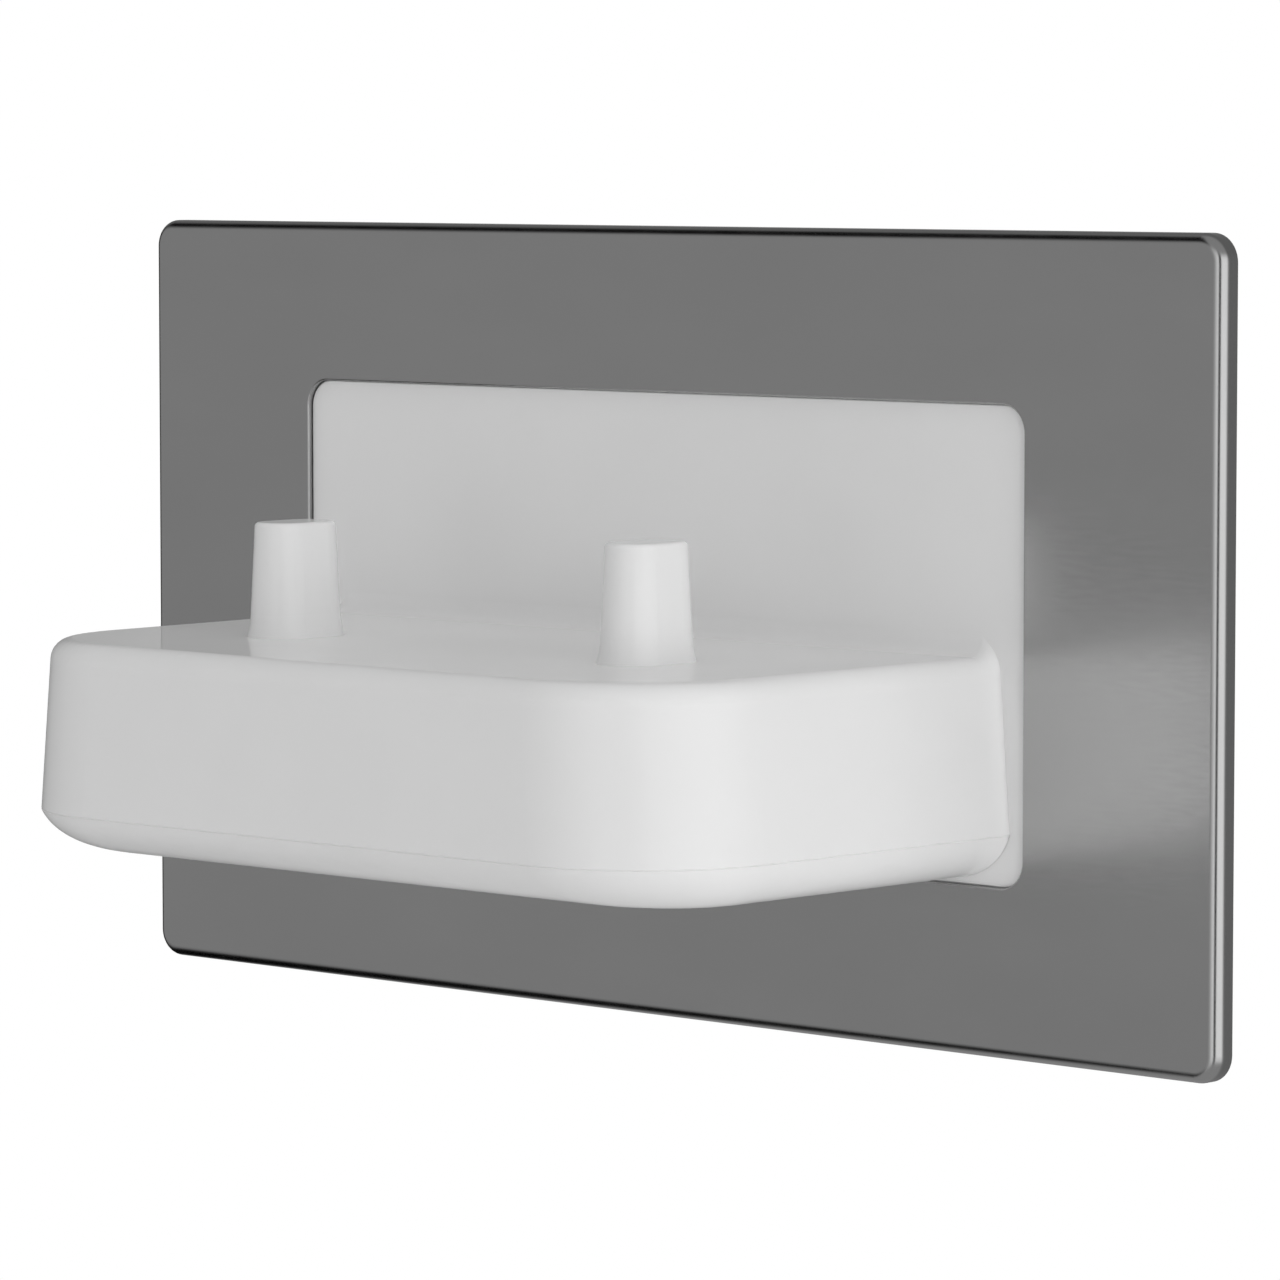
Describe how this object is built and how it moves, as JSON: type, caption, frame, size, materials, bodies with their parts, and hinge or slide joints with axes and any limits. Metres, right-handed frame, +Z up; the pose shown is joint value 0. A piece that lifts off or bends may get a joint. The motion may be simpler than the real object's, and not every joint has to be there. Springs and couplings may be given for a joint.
{
  "type": "in-wall toothbrush charger",
  "caption": "Wall-mounted charging shelf for electric toothbrushes: polished metal faceplate, white moulded shelf with tapered charging posts, rear housing for a double wall box.",
  "frame": {"origin": "middle of the faceplate on the wall plane, half way between the two fixing slots", "axes": "+X along the plate to the right as seen from the room, +Y into the wall, +Z up"},
  "size_m": [0.156, 0.0876, 0.086],
  "materials": {
    "polished_steel": "polished, mirror-like",
    "white_plastic": "moulded, glossy",
    "housing_plastic": "moulded, fine spark texture",
    "seal_rubber": "closed-cell foam",
    "screw_steel": "zinc plated",
    "terminal_plastic": "moulded nylon",
    "terminal_brass": "machined",
    "board_laminate": "solder resist",
    "ferrite": "sintered, matt",
    "bobbin_plastic": "moulded",
    "copper_wire": "enamelled copper, wound",
    "winding_tape": "taped winding",
    "capacitor_sleeve": "shrunk sleeve",
    "film_capacitor": "moulded case",
    "fuse_case": "moulded case",
    "varistor_coat": "dipped coat",
    "chip_resin": "moulded resin",
    "lead_red": "insulated lead",
    "lead_black": "insulated lead"
  },
  "bodies": {
    "root": {"faceplate": "polished_steel", "front_moulding": "white_plastic", "shelf_lower_cover": "white_plastic", "rear_housing": "housing_plastic", "wall_gasket": "seal_rubber", "housing_screws": "screw_steel", "terminal_block": "terminal_plastic", "terminal_block_screws": "screw_steel", "terminal_clamps": "terminal_brass", "terminal_screws": "screw_steel", "earth_strap": "terminal_brass", "power_board": "board_laminate", "power_board_screws": "screw_steel", "transformer_core": "ferrite", "transformer_winding": "winding_tape", "bulk_capacitor": "capacitor_sleeve", "output_capacitor": "capacitor_sleeve", "filter_capacitor": "film_capacitor", "fuse": "fuse_case", "varistor": "varistor_coat", "bridge_rectifier": "chip_resin", "controller_chip": "chip_resin", "shelf_board": "board_laminate", "shelf_board_screws": "screw_steel", "lead_positive": "lead_red", "lead_negative": "lead_black", "ferrite_core_left": "ferrite", "coil_bobbin_left": "bobbin_plastic", "coil_winding_left": "copper_wire", "resonant_capacitor_left": "film_capacitor", "drive_transistor_left": "chip_resin", "ferrite_core_right": "ferrite", "coil_bobbin_right": "bobbin_plastic", "coil_winding_right": "copper_wire", "resonant_capacitor_right": "film_capacitor", "drive_transistor_right": "chip_resin"}
  },
  "joints": []
}
